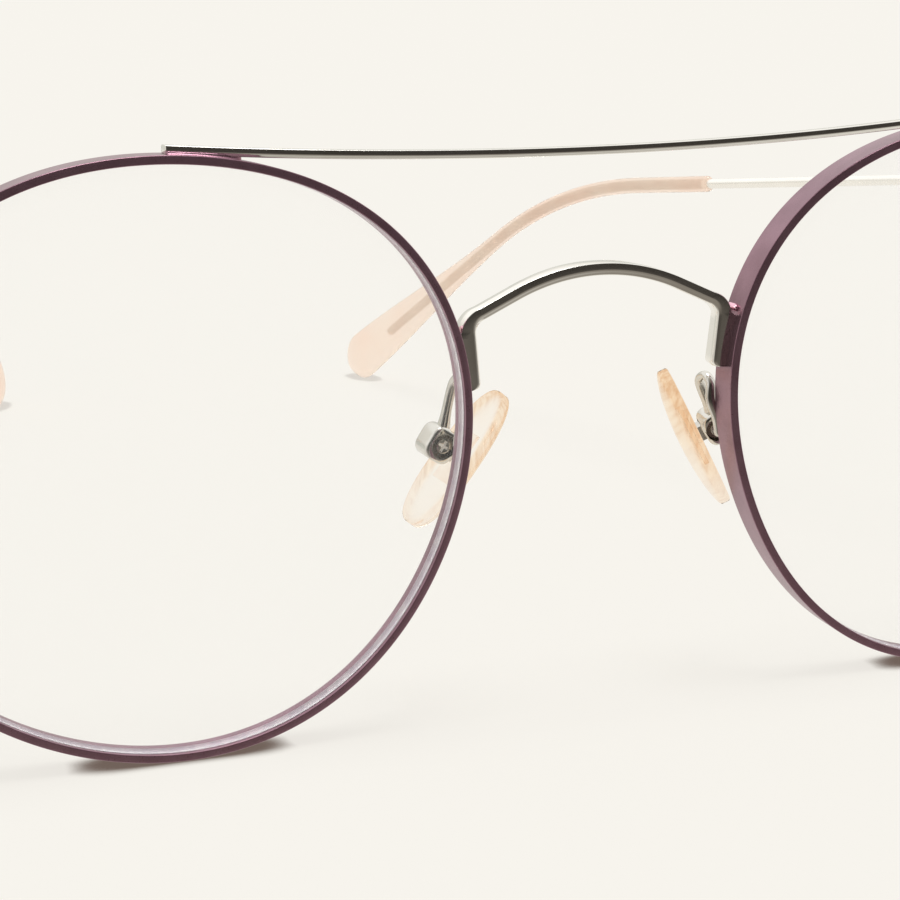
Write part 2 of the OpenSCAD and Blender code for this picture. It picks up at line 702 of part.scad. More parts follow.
rim(1);  // left_rim
rim(-1);  // right_rim
lens(1);  // left_lens
lens(-1);  // right_lens
top_bar();
bridge();
upper_block(1);  // left_upper_block
upper_block(-1);  // right_upper_block
lower_block(1);  // left_lower_block
lower_block(-1);  // right_lower_block
rim_screw(1);  // left_rim_screw
rim_screw(-1);  // right_rim_screw
endpiece(1);  // left_endpiece
endpiece(-1);  // right_endpiece
front_hinge(1);  // left_front_hinge
front_hinge(-1);  // right_front_hinge
temple_hinge(1);  // left_temple_hinge
temple_hinge(-1);  // right_temple_hinge
hinge_screw(1);  // left_hinge_screw
hinge_screw(-1);  // right_hinge_screw
temple(1);  // left_temple
temple(-1);  // right_temple
temple_tip(1);  // left_temple_tip
temple_tip(-1);  // right_temple_tip
pad_arm(1);  // left_pad_arm
pad_arm(-1);  // right_pad_arm
pad_box(1);  // left_pad_box
pad_box(-1);  // right_pad_box
pad_screw(1);  // left_pad_screw
pad_screw(-1);  // right_pad_screw
pad_insert(1);  // left_pad_insert
pad_insert(-1);  // right_pad_insert
nose_pad(1);  // left_nose_pad
nose_pad(-1);  // right_nose_pad
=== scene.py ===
import math

import bmesh
import bpy
import numpy as np
from mathutils import Matrix, Vector

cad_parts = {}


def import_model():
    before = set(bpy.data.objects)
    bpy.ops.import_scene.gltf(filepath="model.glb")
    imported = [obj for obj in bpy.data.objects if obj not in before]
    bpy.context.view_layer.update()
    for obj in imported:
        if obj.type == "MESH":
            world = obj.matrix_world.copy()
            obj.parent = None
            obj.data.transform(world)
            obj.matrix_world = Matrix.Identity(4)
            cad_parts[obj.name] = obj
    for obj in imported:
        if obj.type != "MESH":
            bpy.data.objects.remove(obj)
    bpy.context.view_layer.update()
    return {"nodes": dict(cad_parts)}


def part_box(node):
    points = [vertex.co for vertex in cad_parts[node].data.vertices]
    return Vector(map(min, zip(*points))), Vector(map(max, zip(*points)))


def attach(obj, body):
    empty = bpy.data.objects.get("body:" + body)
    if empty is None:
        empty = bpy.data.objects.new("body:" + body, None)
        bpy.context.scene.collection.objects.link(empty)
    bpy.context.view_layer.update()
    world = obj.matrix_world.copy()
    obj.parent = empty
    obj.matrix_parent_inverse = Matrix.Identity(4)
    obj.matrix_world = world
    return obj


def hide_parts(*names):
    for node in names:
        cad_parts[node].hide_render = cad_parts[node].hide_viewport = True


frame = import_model()

# Lengths are in millimetres and angles in degrees, measured from the point midway between the rim
# centres, at the front's vertex. X runs to the wearer's left, Y back and Z up. Most of these sizes
# repeat the part's source.
SIDES = (("left", 1), ("right", -1))

# Rims: size and distance, the wire's section, the outline's terms, the bends, groove and saw cut
RIM_W, RIM_H, CENTRES = 51.16, 48.44, 74.2
FACE, DEPTH, INNER, RIM_CORNER = 0.69, 3.16, 2.26, 0.03
EGG, LEAN, SQUARE, NOSE_FLAT = 0.37, 0.17, 0.127, 0.144
WRAP, SAG, LEAD = 0.94, 1 / (2 * 139), 0.0017
LIP, GROOVE, GROOVE_FLOOR = 0.35, 1.2, 0.38
SLIT, RIM_STEPS = 0.3, 420

# Lenses: thickness, and the play in the groove
LENS_T, LENS_PLAY = 1.1, 0.03

# Top bar: half its length, its section, its sag and bow, and how it lies over the rims
BAR_HALF, BAR_H, BAR_DEPTH, BAR_SAG, BAR_BOW = 36.1, 0.72, 1.5, 1.36, 2.03
BAR_LAP, BAR_BACK = 0.1, 1.0

# Bridge: the arch and the strap's section, the corners and the legs on the rims
BRIDGE_Z, BRIDGE_R, SLOPE, STRAP_T, STRAP_DEPTH, SETBACK = 12.76, 17.2, 25, 1.04, 2.0, 1.1
LEG_X, LEG_FOOT, LEG_LEAN, LEG_SPLAY, CORNER_R, SWELL = 10.68, 3.85, 5.5, 12, 1.1, 0.5
LEG_DROP, SEAT, TOE_R, RIGHT_LEG_EXTRA = 4.4, 0.15, 0.5, 0.3
STRAP_CORNER, STRAP_END = 0.05, 0.08

# Nose pads: size and turn, the outline's terms, and where the middle of a pad's box is. Each pad
# was pushed off that place, one way at the left and the other at the right
PAD_LEN, PAD_W, PAD_T, PAD_CROWN, PAD_FLARE, PAD_SPLAY = 13.4, 6.9, 1.05, 0.85, 33, 8.5
PAD_POWER, PAD_EGG, PAD_DROP, PAD_ROUND = 2.45, 0.07, 0.15, 0.2
PIVOT_X, PIVOT_BACK, PIVOT_Z = 12.69, 3.365, -2.21
PUSHED, ARM_BEND, PAD_ROCK = (0.61, -0.295, -0.17), 8, 5.4

# Pad boxes: size, the screw's recess and bore, half the slot, and the cross in the screw's head
BOX_L, BOX_IN, PAD_GAP = 2.7, 1.2, 0.4
BOX_OUT, BOX_DEEP, BOX_EDGE, BOX_CORNER, BOX_FULL = 1.45, 2.75, 0.36, 0.8, 0.12
RECESS_R, RECESS_DEPTH, BORE_R, SLOT_X, SLOT_Y, SLOT_Z = 1.04, 0.4, 0.4, 0.8, 0.65, 1.02
CROSS_R, CROSS_FROM, CROSS_TO = 0.45, 0.03, 0.4

# Pad arms: the wire's section, how it swells into the box and thins before it, and how far it is
# sunk in the rim's solder
WIRE_W, WIRE_T, WIRE_SWELL, WIRE_SLIM, WIRE_SINK = 1.0, 0.74, 0.4, 0.14, 0.1

# Hinges and temples: the hinge, the line of the temple, its metal and its plastic tip
HINGE_X, HINGE_Y, HINGE_Z, KNUCKLE, END_H, ARM_T = 64.7, 9.5, 16.7, 0.95, 2.4, 1.0
TEMPLE, STRAIGHT, BEND_R, BEND, TURN = 147.5, 80.8, 60, 27, 17.4
ARM_START, ARM_FLAT, ARM_EDGE, CORE_D, CORE_GAP, CORE_NOSE = 0.25, 40, 0.06, 1.1, 10.5, 0.6
SLEEVE, SLEEVE_EDGE, NECK, PADDLE_H, PADDLE_T, TAPER = 68.8, 0.12, 1.8, 6.3, 2.5, 40

# Solder: a bead at each corner of the bridge, and a fillet under each end of the bar
BEAD_Z, BEAD_R, BEAD_LONG, FILLET_LONG = 8.74, 0.34, 0.85, 5.8


def smooth(a, b, x):
    u = np.clip((x - a) / (b - a), 0, 1)
    return u * u * (3 - 2 * u)


def circle_angles(sides):
    return np.linspace(0, 2 * math.pi, sides, endpoint=False)


def rim_r(a):
    """The rim's outline: its radius at an angle from the nose."""
    return ((RIM_W + RIM_H) / 4 + SQUARE + (RIM_W - RIM_H) / 4 * np.cos(2 * a) + EGG * np.sin(3 * a)
            + LEAN * np.sin(4 * a) - SQUARE * np.cos(4 * a) - NOSE_FLAT * np.cos(3 * a))


all_round = np.radians(np.arange(0, 360, 0.25))
rim_top = (rim_r(all_round) * np.sin(all_round)).max()
bar_end_y = SAG * rim_r(math.pi / 2) ** 2 + BAR_BACK
bar_end_z = rim_top - BAR_LAP
OFF_Y = bar_end_y - BAR_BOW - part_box("top_bar")[0].y * 1000
OFF_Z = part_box("top_bar")[1].z * 1000 - (bar_end_z + BAR_H)


def world(points, side=1):
    """Points in the shared frame, in metres. The right side is mirrored."""
    p = np.array(points, float)
    return np.stack([p[..., 0] * side, p[..., 1] - OFF_Y, p[..., 2] + OFF_Z], -1) / 1000


def ring_point(a, s, t):
    """A point at an angle round the rim, s in from its outside and t behind its face."""
    r = rim_r(a) - s
    out = r - LEAD * r * t
    return np.stack([-out * np.cos(a), SAG * r * r + t, out * np.sin(a)], -1)


def at_rim(p):
    """A rim's own point, moved to the left rim's place and turned by the frame's wrap."""
    c, s = math.cos(math.radians(WRAP)), math.sin(math.radians(WRAP))
    x = p[..., 0] * c - p[..., 1] * s + CENTRES / 2
    return np.stack([x, p[..., 0] * s + p[..., 1] * c, p[..., 2]], -1)


def rim_nose_x(z):
    """Where the rim's outside is at the nose, at a height."""
    a = math.asin(z / rim_r(0))
    for _ in range(3):
        a = math.asin(z / rim_r(a))
    return CENTRES / 2 - rim_r(a) * math.cos(a)


def rounded(poly, radius, steps=3):
    """The polygon with each corner replaced by a short arc."""
    poly = np.array(poly, float)
    n = len(poly)
    out = []
    for i in range(n):
        p, q, r = poly[i - 1], poly[i], poly[(i + 1) % n]
        e, f = p - q, r - q
        le, lf = np.hypot(*e), np.hypot(*f)
        e, f = e / le, f / lf
        cut = min(radius, le * 0.45, lf * 0.45)
        for k in range(steps + 1):
            t = k / steps
            out.append(q + e * cut * (1 - t) ** 2 + f * cut * t ** 2)
    return np.array(out)


# Meshes
def skin(rings, first=None, last=None):
    """Vertices and faces through equal rings, closed at each end by a point or a flat face."""
    m, n = len(rings), len(rings[0])
    verts = [p for r in rings for p in r]
    faces = []
    for i in range(m - 1):
        for j in range(n):
            l = (j + 1) % n
            faces.append((i * n + j, (i + 1) * n + j, (i + 1) * n + l, i * n + l))
    for point, base, order in ((first, 0, 1), (last, (m - 1) * n, -1)):
        ring = [base + j for j in range(n)][::order]
        if point is None:
            faces.append(tuple(ring))
        else:
            verts.append(point)
            c = len(verts) - 1
            faces += [(c, ring[j], ring[(j + 1) % n]) for j in range(n)]
    return verts, faces


def volume(verts, faces):
    v = np.array(verts)
    total = 0.0
    for f in faces:
        for k in range(1, len(f) - 1):
            total += np.dot(v[f[0]], np.cross(v[f[k]], v[f[k + 1]]))
    return total


def link(name, me):
    ob = bpy.data.objects.new(name, me)
    bpy.context.scene.collection.objects.link(ob)
    return ob


def solid(name, rings, first=None, last=None):
    """A closed object through rings, with its faces turned outward."""
    verts, faces = skin(rings, first, last)
    me = bpy.data.meshes.new(name)
    me.from_pydata([tuple(v) for v in verts], [], faces)
    if volume(verts, faces) < 0:
        me.flip_normals()
    me.update()
    return link(name, me)


def bevel(ob, name, width, segments, angle):
    made = ob.modifiers.new(name, "BEVEL")
    made.width = width / 1000
    made.segments = segments
    made.limit_method = "ANGLE"
    made.angle_limit = math.radians(angle)


def settle(ob, body, nodes, keep_sharp=False):
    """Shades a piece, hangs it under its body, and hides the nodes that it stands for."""
    ob.data.polygons.foreach_set("use_smooth", [True] * len(ob.data.polygons))
    even = ob.modifiers.new("normals", "WEIGHTED_NORMAL")
    even.weight = 80
    even.keep_sharp = keep_sharp
    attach(ob, body)
    if nodes:
        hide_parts(*nodes)


def build(name, rings, material, body, nodes, band=None, first=None, last=None):
    """A piece through rings. A band of them, from one ring to another, may have its own material."""
    ob = solid(name, rings, first, last)
    ob.data.materials.append(material)
    if band:
        n = len(rings[0])
        ob.data.materials.append(band[0])
        for i in range(band[1] * n, band[2] * n):
            ob.data.polygons[i].material_index = 1
    settle(ob, body, nodes, keep_sharp=True)
    return ob


def dress(node, material, body, width):
    """A CAD piece with its hard edges broken."""
    me = frame["nodes"][node].data.copy()
    me.name = node + "_edged"
    ob = link(node + "_edged", me)
    me.materials.clear()
    me.materials.append(material)
    weld = ob.modifiers.new("weld", "WELD")
    weld.merge_threshold = 0.000002
    flat = ob.modifiers.new("flat", "DECIMATE")
    flat.decimate_type = "DISSOLVE"
    flat.angle_limit = math.radians(0.5)
    bevel(ob, "bevel", width, 3, 35)
    settle(ob, body, [node])
    return ob


def off_axis(point, start, end):
    """How far a point is along the line from start to end, and how far off it, in millimetres."""
    axis = (end - start).normalized()
    deep = (point - start).dot(axis)
    return deep * 1000, (point - start - axis * deep).length * 1000


# Materials
MIX_FACTOR, MIX_A, MIX_B, MIX_RESULT = 0, 6, 7, 2


def linear(r, g, b):
    """A linear colour from red, green and blue out of 255."""
    def curve(c):
        return c / 255 / 12.92 if c <= 10 else ((c / 255 + 0.055) / 1.055) ** 2.4

    return curve(r), curve(g), curve(b), 1


def feed(tree, node, inputs):
    """Sets a node's inputs, each to a value or to the output of another node."""
    for key, value in inputs.items():
        if isinstance(value, bpy.types.NodeSocket):
            tree.links.new(value, node.inputs[key])
        else:
            node.inputs[key].default_value = value


def add(tree, kind, inputs, **settings):
    made = tree.nodes.new("ShaderNode" + kind)
    for name, value in settings.items():
        setattr(made, name, value)
    feed(tree, made, inputs)
    return made


def ramp(tree, value, low, high, start, end):
    made = add(tree, "ValToRGB", {"Fac": value})
    for element, position, colour in zip(made.color_ramp.elements, (start, end), (low, high)):
        element.position = position
        element.color = colour
    return made.outputs["Color"]


def mixed(tree, factor, a, b):
    inputs = {MIX_FACTOR: factor, MIX_A: a, MIX_B: b}
    return add(tree, "Mix", inputs, data_type="RGBA").outputs[MIX_RESULT]


def calc(tree, operation, a, b):
    return add(tree, "Math", {0: a, 1: b}, operation=operation).outputs["Value"]


def step(tree, value, low, high):
    """Rises smoothly from 0 at low to 1 at high."""
    inputs = {"Value": value, "From Min": low, "From Max": high}
    return add(tree, "MapRange", inputs, interpolation_type="SMOOTHSTEP").outputs["Result"]


def new_tree(name):
    made = bpy.data.materials.new(name)
    made.use_nodes = True
    return made, made.node_tree


def surface(name, low, high, rough, scale, grain, bump, distance, values):
    """Colour that varies between low and high, roughness with a grain, and a fine bump."""
    made, tree = new_tree(name)
    at = add(tree, "TexCoord", {}).outputs["Object"]
    broad = add(tree, "TexNoise", {"Vector": at, "Scale": scale, "Detail": 4}).outputs["Fac"]
    fine = add(tree, "TexNoise", {"Vector": at, "Scale": grain, "Detail": 3}).outputs["Fac"]
    span = add(tree, "MapRange", {"Value": fine, "To Min": rough[0], "To Max": rough[1]})
    raised = add(tree, "Bump", {"Strength": bump, "Distance": distance, "Height": fine})
    shader = tree.nodes["Principled BSDF"]
    feed(tree, shader, {"Base Color": ramp(tree, broad, linear(*low), linear(*high), 0.35, 0.65),
                        "Roughness": span.outputs["Result"],
                        "Normal": raised.outputs["Normal"]})
    feed(tree, shader, values)
    return made


def metal(name, low, high, rough, scale=400, grain=9000, bump=0.05, distance=0.00002, metallic=1.0):
    return surface(name, low, high, rough, scale, grain, bump, distance, {"Metallic": metallic})


def plastic(name, low, high, rough, ior, scale, tint, density, clear=1.0):
    """Clear plastic that takes its colour from how far the light goes through it."""
    values = {"Transmission Weight": clear, "IOR": ior}
    made = surface(name, low, high, rough, scale, 2500, 0.03, 0.00002, values)
    tree = made.node_tree
    depth = add(tree, "VolumeAbsorption", {"Color": tint, "Density": density})
    feed(tree, tree.nodes["Material Output"], {"Volume": depth.outputs["Volume"]})
    return made


# Mauve: the rims, endpieces and closing blocks, and the solder beside them
wire = metal("mauve_anodised", (142, 108, 120), (154, 119, 132), (0.24, 0.34), bump=0.08, metallic=0.8)
# A bead of solder in pale pink: the pale pink is a painted glint
solder_glint = metal("pink_solder_glint", (236, 184, 202), (248, 206, 220), (0.12, 0.2), 900, 5000)
# The fillets under the bar's ends, in a lighter mauve than the rims: the lighter tone is painted highlight
bar_solder_highlight = metal("mauve_solder_highlight", (166, 122, 138), (182, 138, 154), (0.2, 0.32), 700,
                   bump=0.1, metallic=0.85)

# Pale metal, from the brightest to the darkest
arm_metal = metal("satin_chrome", (246, 243, 237), (250, 247, 241), (0.22, 0.34), 250, 5000, 0.03)
# Pale, rough metal for the cross in the screw's head: a painted glint
glint = metal("slot_glint", (236, 232, 224), (252, 250, 246), (0.35, 0.5), 2500, bump=0.3, metallic=0.35)
polished = metal("pale_chrome", (236, 233, 226), (244, 242, 236), (0.07, 0.17), 250, 5000, 0.03)
# The temple wire inside the tip: a darker, beige copy of the satin metal, painted shade for the wire seen
# through the plastic
shaded_core = metal("core_wire_shaded", (225, 218, 211), (233, 226, 219), (0.3, 0.42), 300, 6000, 0.04)
arm_chrome = metal("arm_chrome", (208, 205, 197), (220, 217, 210), (0.07, 0.17), 250, 5000, 0.03)
steel = metal("screw_steel", (198, 194, 186), (214, 211, 204), (0.12, 0.24), 900, 3000, 0.2, 0.00003)
# Darker chrome for the screw's recess in the pad boxes: painted shade
recess_shade = metal("recess_painted_shade", (128, 120, 108), (150, 142, 130), (0.2, 0.32), 900, 5000)

# Clear pieces
lens_glass = surface("lens_glass", (246, 250, 250), (252, 255, 255), (0.01, 0.03), 60, 300, 0.0, 0.00001,
                     {"Alpha": 0.035, "IOR": 1.5})
# The lens's ground edge: pale lavender, partly its own pale colour and partly a painted highlight along the
# rim's inner wall
ground_edge_highlight = surface("lens_edge", (236, 226, 234), (252, 246, 248), (0.2, 0.45), 900, 6000, 0.4, 0.00004,
                      {"Transmission Weight": 0.35, "IOR": 1.3})
tip_plastic = plastic("tip_plastic", (255, 236, 224), (255, 244, 234), (0.26, 0.38), 1.04, 150,
                      (1.0, 0.84, 0.73, 1), 68, clear=0.9)
pad_plastic = plastic("pad_plastic", (255, 250, 244), (255, 254, 252), (0.08, 0.16), 1.05, 200,
                      (1.0, 0.84, 0.62, 1), 16)
plate_plastic = plastic("plate_plastic", (252, 242, 234), (255, 251, 247), (0.05, 0.2), 1.06, 900,
                        (1.0, 0.86, 0.74, 1), 8)

# The pad's narrow wall is tinted, with streaks along it. Its faces are clear
pad_tree = pad_plastic.node_tree
pad_shader = pad_tree.nodes["Principled BSDF"]
pad_at = add(pad_tree, "TexCoord", {}).outputs["Object"]
drawn_out = add(pad_tree, "Mapping", {"Vector": pad_at, "Scale": (1, 1, 0.12)}).outputs["Vector"]
flow = add(pad_tree, "TexNoise", {"Vector": drawn_out, "Scale": 2600, "Detail": 3}).outputs["Fac"]
streaks = ramp(pad_tree, flow, linear(232, 190, 152), linear(255, 230, 200), 0.36, 0.60)
wall_share = add(pad_tree, "Attribute", {}, attribute_name="wall").outputs["Fac"]
clear_colour = pad_shader.inputs["Base Color"].links[0].from_socket
feed(pad_tree, pad_shader, {"Base Color": mixed(pad_tree, wall_share, clear_colour, streaks)})

# Rims: a grooved wire round each lens, cut through at the closing blocks
section = rounded([[0.05, 0.01], [0.30, 0], [FACE - 0.05, 0.01], [FACE, 0.06], [FACE, LIP],
                   [GROOVE_FLOOR, LIP + GROOVE / 2], [FACE, LIP + GROOVE], [FACE, INNER], [0.25, DEPTH],
                   [0.10, DEPTH], [0, DEPTH - 0.10], [0, 0.06]], RIM_CORNER)
split_z = HINGE_Z - END_H / 2 - 0.1  # between the closing blocks
split_a = math.pi - math.asin(split_z / rim_r(math.pi))
for _ in range(3):
    split_a = math.pi - math.asin(split_z / rim_r(split_a))
slit = SLIT / rim_r(split_a)
for label, side in SIDES:
    rings = []
    for a in split_a + slit / 2 + np.linspace(0, 2 * math.pi - slit, RIM_STEPS):
        points = ring_point(np.full(len(section), a), section[:, 0], section[:, 1])
        rings.append(world(at_rim(points), side))
    build(label + "_rim_wire", rings, wire, "front", [label + "_rim"])

# Lenses: two curved faces and a ground bevel that sits in the groove
LENS_FRONT, LENS_BACK = LIP + GROOVE / 2 - LENS_T / 2, LIP + GROOVE / 2 + LENS_T / 2
LENS_SHARES = (0.08, 0.2, 0.35, 0.5, 0.65, 0.8, 0.92)
for label, side in SIDES:
    around = np.radians(np.arange(0, 360, 2))
    spots = [(rim_r(around) * (1 - f), LENS_FRONT) for f in LENS_SHARES]
    spots += [(FACE + LENS_PLAY, LENS_FRONT), (GROOVE_FLOOR + LENS_PLAY * 2.5, LIP + GROOVE / 2)]
    spots += [(FACE + LENS_PLAY, LENS_BACK)]
    spots += [(rim_r(around) * (1 - f), LENS_BACK) for f in reversed(LENS_SHARES)]
    rings = [world(at_rim(ring_point(around, s, t)), side) for s, t in spots]
    ends = [world(at_rim(np.array([0, t, 0])), side) for t in (LENS_FRONT, LENS_BACK)]
    bevel_from = len(LENS_SHARES)
    build(label + "_lens_blank", rings, lens_glass, "front", [label + "_lens"],
          band=(ground_edge_highlight, bevel_from, bevel_from + 2), first=ends[0], last=ends[1])


# Straps: the top bar and the bridge
def strap_section(length, depth, fall, leg=0.0):
    """A strap with a low ridge along its front, and a top that falls to the back.

    On a leg its low edge is fuller.
    """
    k = min(max(leg, 0.0), 1.0)

    def between(on_arch, on_leg):
        return on_arch + (on_leg - on_arch) * k

    front = [[0, between(0.19, 0.42)], [between(0.05, 0.12), between(0.13, 0.2)],
             [between(0.22 * length, 0.27), between(0.08, 0.06)],
             [between(0.36 * length, 0.5), between(0.025, 0.0)],
             [max(0.46 * length, 0.6 * k), 0], [length - 0.05, 0.03], [length, 0.09]]
    back = [[length, depth * 0.45], [length - fall, depth - 0.12],
            [length - fall - 0.1, depth], [0.1, depth], [0, depth - 0.1]]
    return rounded(front + back, STRAP_CORNER)


def strap_rings(pairs, y, depth, fall, splay):
    """Rings from pairs of a low and a high edge, with how far each has turned into a leg."""
    rings = []
    for low, high, turn in pairs:
        low, high = np.array(low, float), np.array(high, float)
        length = np.hypot(*(high - low))
        e = (high - low) / length
        top_fall = 0.04 + fall * float(smooth(2, 8, abs(low[0])))
        sec = strap_section(length, depth, top_fall, 1.3 * abs(turn))
        u, v = sec[:, 0], sec[:, 1]
        sideways = turn * splay * np.clip(v / depth, 0, 1) * np.clip(1 - u / length, 0, 1)
        rings.append(np.stack([low[0] + e[0] * u + sideways, y + v, low[1] + e[1] * u], -1))
    return rings


def capped(rings):
    """Adds smaller rings at each end, so that the ends have broken edges."""
    out = list(rings)
    for end, near in ((0, 1), (-1, -2)):
        r = rings[end]
        c = r.mean(0)
        way = c - rings[near].mean(0)
        way = way / np.linalg.norm(way)
        inner = r - way * STRAP_END
        edge = inner * 0.3 + r * 0.7 - way * STRAP_END * 0.3
        lip = c + (r - c) * (1 - 2 * STRAP_END / np.linalg.norm(r - c, axis=1).max())
        if end == 0:
            out = [lip, edge, inner] + out[1:]
        else:
            out = out[:-1] + [inner, edge, lip]
    return out


def bar_edge(x):
    """The bar's front and low edge, which bow and sag between its ends."""
    u = 1 - (x / BAR_HALF) ** 2
    return bar_end_y - BAR_BOW * u, bar_end_z - BAR_SAG * u


bar = []
bar_section = strap_section(BAR_H, BAR_DEPTH, 0.08)
for x in np.linspace(-BAR_HALF, BAR_HALF, 121):
    front, low = bar_edge(x)
    xs = np.full(len(bar_section), x)
    bar.append(np.stack([xs, front + bar_section[:, 1], low + bar_section[:, 0]], -1))
build("top_bar_strap", [world(r) for r in capped(bar)], polished, "front", ["top_bar"])

# The bridge's arch, its two corners and its legs on the rims, as pairs of edges seen from the front
slope, lean = math.radians(SLOPE), math.radians(LEG_LEAN)
rim_nose_y = SAG * rim_r(0) ** 2 - math.sin(math.radians(WRAP)) * rim_r(0)
rim_back = rim_nose_y + DEPTH
strap_y = rim_nose_y + SETBACK
strap_dir = np.array([math.cos(slope), -math.sin(slope)])
strap_out = np.array([math.sin(slope), math.cos(slope)])
arch_end = BRIDGE_R * np.array([math.sin(slope), math.cos(slope) - 1]) + [0, BRIDGE_Z]
leg_top = np.array([LEG_X, BRIDGE_Z - LEG_DROP])
leg_out = np.array([math.cos(lean), -math.sin(lean)])
corner_from = arch_end - strap_out * (STRAP_T / 2 + CORNER_R)
corner_c = corner_from + strap_dir * (((leg_top - corner_from) @ leg_out - CORNER_R) / (strap_dir @ leg_out))
leg_start = corner_c[1] - CORNER_R * math.sin(lean)
toe_start = LEG_FOOT + TOE_R


def on_rim(z):
    return np.array([rim_nose_x(z) + SEAT, z])


def corner_pair(k):
    a = slope + (math.pi / 2 + lean - slope) * k
    d = np.array([math.sin(a), math.cos(a)])
    return corner_c + CORNER_R * d, corner_c + (CORNER_R + STRAP_T + SWELL * k) * d, k


def leg_pair(z, lift):
    low = np.array([leg_top[0] + (z - leg_top[1]) * math.tan(lean) + lift, z])
    return low, on_rim(z - 0.2 * lift), 1 - 0.25 * (leg_start - z) / (leg_start - LEG_FOOT)


half = []
for a in np.linspace(0, slope, 28):
    c, d = np.array([0, BRIDGE_Z - BRIDGE_R]), np.array([math.sin(a), math.cos(a)])
    half.append((c + d * (BRIDGE_R - STRAP_T / 2), c + d * (BRIDGE_R + STRAP_T / 2), 0))
half += [corner_pair(k) for k in np.linspace(0, 0.9, 13)]
high_from, high_to = corner_pair(0.9)[1], on_rim(leg_start - 0.15)
for k in (0.35, 0.7, 1.0):
    low, _, turn = corner_pair(0.9 + 0.1 * k)
    half.append((low, high_from + (high_to - high_from) * (k * (1.3 - 0.3 * k)), turn))
half += [leg_pair(leg_start + (toe_start - leg_start) * i / 10, 0) for i in range(1, 11)]
for a in np.radians([15, 30, 45, 60, 75, 90]):
    half.append(leg_pair(LEG_FOOT + TOE_R * (1 - math.sin(a)), TOE_R * (1 - math.cos(a))))
flip = np.array([-1, 1])
pairs = [(p * flip, q * flip, -t) for p, q, t in half[:0:-1]] + half
bridge = strap_rings(pairs, strap_y, STRAP_DEPTH, 0.12, STRAP_DEPTH * math.tan(math.radians(LEG_SPLAY)))
for r in bridge:
    r[:, 2] -= RIGHT_LEG_EXTRA * smooth(0, 1, -r[:, 0]) * smooth(leg_start, LEG_FOOT, r[:, 2])
build("bridge_strap", [world(r) for r in bridge], polished, "front", ["bridge"])


# Nose pads
def turned(v, flare, back):
    """The point turned back about Z, and then flared about Y."""
    f, b = math.radians(flare), math.radians(back)
    v = np.array(v, float)
    x = v[..., 0] * math.cos(b) + v[..., 1] * math.sin(b)
    y = -v[..., 0] * math.sin(b) + v[..., 1] * math.cos(b)
    z = v[..., 2]
    return np.stack([x * math.cos(f) - z * math.sin(f), y, x * math.sin(f) + z * math.cos(f)], -1)


def pivot(side):
    """The middle of a pad's box."""
    return np.array([PIVOT_X, rim_back + PIVOT_BACK, PIVOT_Z]) + side * np.array(PUSHED)


def box_point(side, v):
    """A point of a pad's box, measured from the box's middle."""
    return pivot(side) + turned(v, PAD_FLARE, PAD_SPLAY + side * ARM_BEND)


def pad_point(side, v):
    """A point of a pad, which has rocked on the screw through its box's middle."""
    v = np.array(v, float)
    a = math.radians(side * PAD_ROCK)
    x = v[..., 0] * math.cos(a) + v[..., 2] * math.sin(a)
    z = -v[..., 0] * math.sin(a) + v[..., 2] * math.cos(a)
    return box_point(side, np.stack([x, v[..., 1], z], -1))


pad_x = -(BOX_IN + PAD_GAP + PAD_T / 2)
pad_back, pad_front = pad_x + PAD_T / 2, pad_x - PAD_T / 2
PAD_SIDES = 96
PAD_BACK_SHARES = (0.3, 0.6, 0.85, 0.93)
PAD_CROWN_STEPS = (0.04, 0.1, 0.2, 0.32, 0.45, 0.58, 0.7, 0.8, 0.88, 0.94, 0.98)
# How much of the wall's tint each ring has, from the pad's back to its front
PAD_TINT = [0, 0, 0, 0.2, 0.5, 0.8, 1, 1, 1, 1, 1, 0.9, 0.6, 0.3, 0.1, 0, 0, 0, 0, 0, 0]


def pad_loop(x, share):
    """A share of the pad's outline, at a depth."""
    a = circle_angles(PAD_SIDES)
    k = share / (np.abs(np.cos(a)) ** PAD_POWER + np.abs(np.sin(a)) ** PAD_POWER) ** (1 / PAD_POWER)
    y = k * PAD_W / 2 * np.cos(a) * (1 - PAD_EGG * np.sin(a))
    return np.stack([np.full(PAD_SIDES, x), y, k * PAD_LEN / 2 * np.sin(a) - PAD_DROP], -1)


for label, side in SIDES:
    rings = [pad_loop(pad_back, share) for share in PAD_BACK_SHARES]
    for a in np.radians([20, 40, 60, 90]):
        rings.append(pad_loop(pad_back - PAD_ROUND * (1 - math.cos(a)), 0.94 + 0.06 * math.sin(a)))
    crown_from = pad_front + PAD_ROUND
    rings += [pad_loop(pad_back + (crown_from - pad_back) * t, 1) for t in (0.5, 1)]
    for t in PAD_CROWN_STEPS:
        rings.append(pad_loop(crown_from - (PAD_CROWN + PAD_ROUND) * t, math.sqrt(max(0.0, 1 - t ** 1.6))))
    rings = [world(pad_point(side, r), side) for r in rings]
    ends = [world(pad_point(side, [x, 0, -PAD_DROP]), side) for x in (pad_back, pad_front - PAD_CROWN)]
    pad = build(label + "_pad_body", rings, pad_plastic, label + "_pad", [label + "_nose_pad"],
                first=ends[0], last=ends[1])
    wall = pad.data.attributes.new("wall", "FLOAT", "POINT")
    fade = 0.4 + 0.6 * smooth(-5.5, -0.5, pad_loop(0, 1)[:, 2])
    wall.data.foreach_set("value", (np.array(PAD_TINT)[:, None] * fade).ravel().tolist() + [0.0, 0.0])


# Pad arms: a flattened wire from the back of the rim, over a crest and into the box
def along(route, u):
    """The point u steps along a smooth curve through the route's points."""
    n = len(route) - 1
    i = min(int(u), n - 1)
    t = u - i
    p, q, r, s = route[max(i - 1, 0)], route[i], route[i + 1], route[min(i + 2, n)]
    low_terms = 2 * q + (r - p) * t + (2 * p - 5 * q + 4 * r - s) * t * t
    return 0.5 * (low_terms + (3 * q - p - 3 * r + s) * t ** 3)


